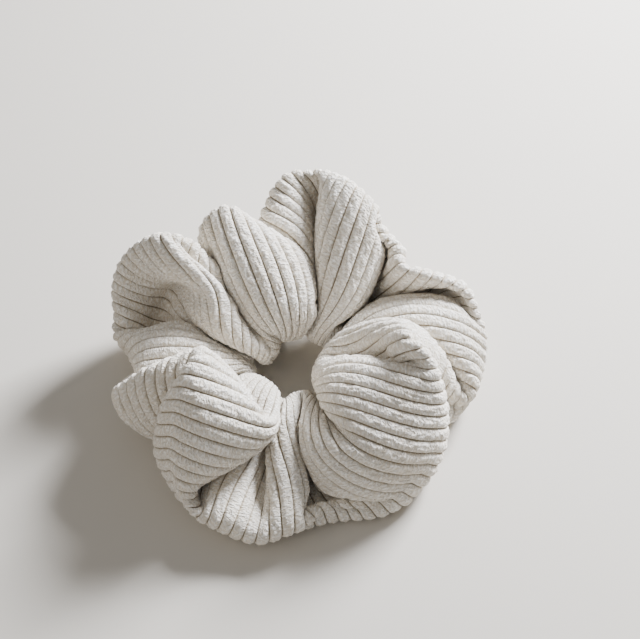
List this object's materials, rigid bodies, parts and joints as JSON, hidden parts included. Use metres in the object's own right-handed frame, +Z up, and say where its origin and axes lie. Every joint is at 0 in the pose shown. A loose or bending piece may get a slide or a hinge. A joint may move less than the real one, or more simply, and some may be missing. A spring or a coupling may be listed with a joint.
{
  "type": "scrunchie",
  "caption": "Gathered corduroy scrunchie: a tube of wide-wale cloth ruffled over an elastic ring that stretches open round hair.",
  "frame": {"origin": "the middle of the hair opening, on the surface the scrunchie lies on", "axes": "+Z up through the hair opening; +X and +Y in the plane of the ring, with the lowest, pleated ruffle towards -Y and the closing seam between +X and +Y"},
  "size_m": [0.1059, 0.0986, 0.045],
  "materials": {
    "corduroy": "wide-wale cotton corduroy, cream, cut pile",
    "elastic": "braided elastic, white",
    "thread": "polyester sewing thread, cream"
  },
  "bodies": {
    "gather_01": {"cover_seam_start": "corduroy", "elastic_seam_start": "elastic", "seam_thread_seam_start": "thread", "closing_seam_thread": "thread"},
    "gather_02": {"cover_back": "corduroy", "elastic_back": "elastic", "seam_thread_back": "thread"},
    "gather_03": {"cover_back_left": "corduroy", "elastic_back_left": "elastic", "seam_thread_back_left": "thread"},
    "gather_04": {"cover_left_back": "corduroy", "elastic_left_back": "elastic", "seam_thread_left_back": "thread"},
    "gather_05": {"cover_left": "corduroy", "elastic_left": "elastic", "seam_thread_left": "thread"},
    "gather_06": {"cover_front_left": "corduroy", "elastic_front_left": "elastic", "seam_thread_front_left": "thread"},
    "gather_07": {"cover_front": "corduroy", "elastic_front": "elastic", "seam_thread_front": "thread"},
    "gather_08": {"cover_front_right": "corduroy", "elastic_front_right": "elastic", "seam_thread_front_right": "thread"},
    "gather_09": {"cover_right": "corduroy", "elastic_right": "elastic", "seam_thread_right": "thread", "elastic_lap": "elastic", "bar_tack_1": "thread", "bar_tack_2": "thread"},
    "gather_10": {"cover_seam_end": "corduroy", "elastic_seam_end": "elastic", "seam_thread_seam_end": "thread"}
  },
  "joints": [
    {"name": "stretch_01_02", "type": "slide", "parent": "gather_01", "child": "gather_02", "axis": [-0.9026, 0.4305, 0], "range_m": [0, 0.01143], "stiffness_N_per_m": 240},
    {"name": "stretch_02_03", "type": "slide", "parent": "gather_02", "child": "gather_03", "axis": [-0.9848, -0.1736, 0], "range_m": [0, 0.01175], "stiffness_N_per_m": 240},
    {"name": "stretch_03_04", "type": "slide", "parent": "gather_03", "child": "gather_04", "axis": [-0.6884, -0.7254, 0], "range_m": [0, 0.01206], "stiffness_N_per_m": 240},
    {"name": "stretch_04_05", "type": "slide", "parent": "gather_04", "child": "gather_05", "axis": [-0.1045, -0.9945, 0], "range_m": [0, 0.01237], "stiffness_N_per_m": 240},
    {"name": "stretch_05_06", "type": "slide", "parent": "gather_05", "child": "gather_06", "axis": [0.5225, -0.8526, 0], "range_m": [0, 0.01206], "stiffness_N_per_m": 240},
    {"name": "stretch_06_07", "type": "slide", "parent": "gather_06", "child": "gather_07", "axis": [0.9455, -0.3256, 0], "range_m": [0, 0.01362], "stiffness_N_per_m": 240},
    {"name": "stretch_07_08", "type": "slide", "parent": "gather_07", "child": "gather_08", "axis": [0.9171, 0.3987, 0], "range_m": [0, 0.01393], "stiffness_N_per_m": 240},
    {"name": "stretch_08_09", "type": "slide", "parent": "gather_08", "child": "gather_09", "axis": [0.3173, 0.9483, 0], "range_m": [0, 0.01696], "stiffness_N_per_m": 240},
    {"name": "stretch_09_10", "type": "slide", "parent": "gather_09", "child": "gather_10", "axis": [-0.4617, 0.887, 0], "range_m": [0, 0.01269], "stiffness_N_per_m": 240}
  ],
  "couplings": [
    {"joint": "stretch_02_03", "follows": "stretch_01_02", "ratio": 1.0276},
    {"joint": "stretch_03_04", "follows": "stretch_01_02", "ratio": 1.0552},
    {"joint": "stretch_04_05", "follows": "stretch_01_02", "ratio": 1.0827},
    {"joint": "stretch_05_06", "follows": "stretch_01_02", "ratio": 1.0552},
    {"joint": "stretch_06_07", "follows": "stretch_01_02", "ratio": 1.1918},
    {"joint": "stretch_07_08", "follows": "stretch_01_02", "ratio": 1.2188},
    {"joint": "stretch_08_09", "follows": "stretch_01_02", "ratio": 1.4838},
    {"joint": "stretch_09_10", "follows": "stretch_01_02", "ratio": 1.1101}
  ]
}
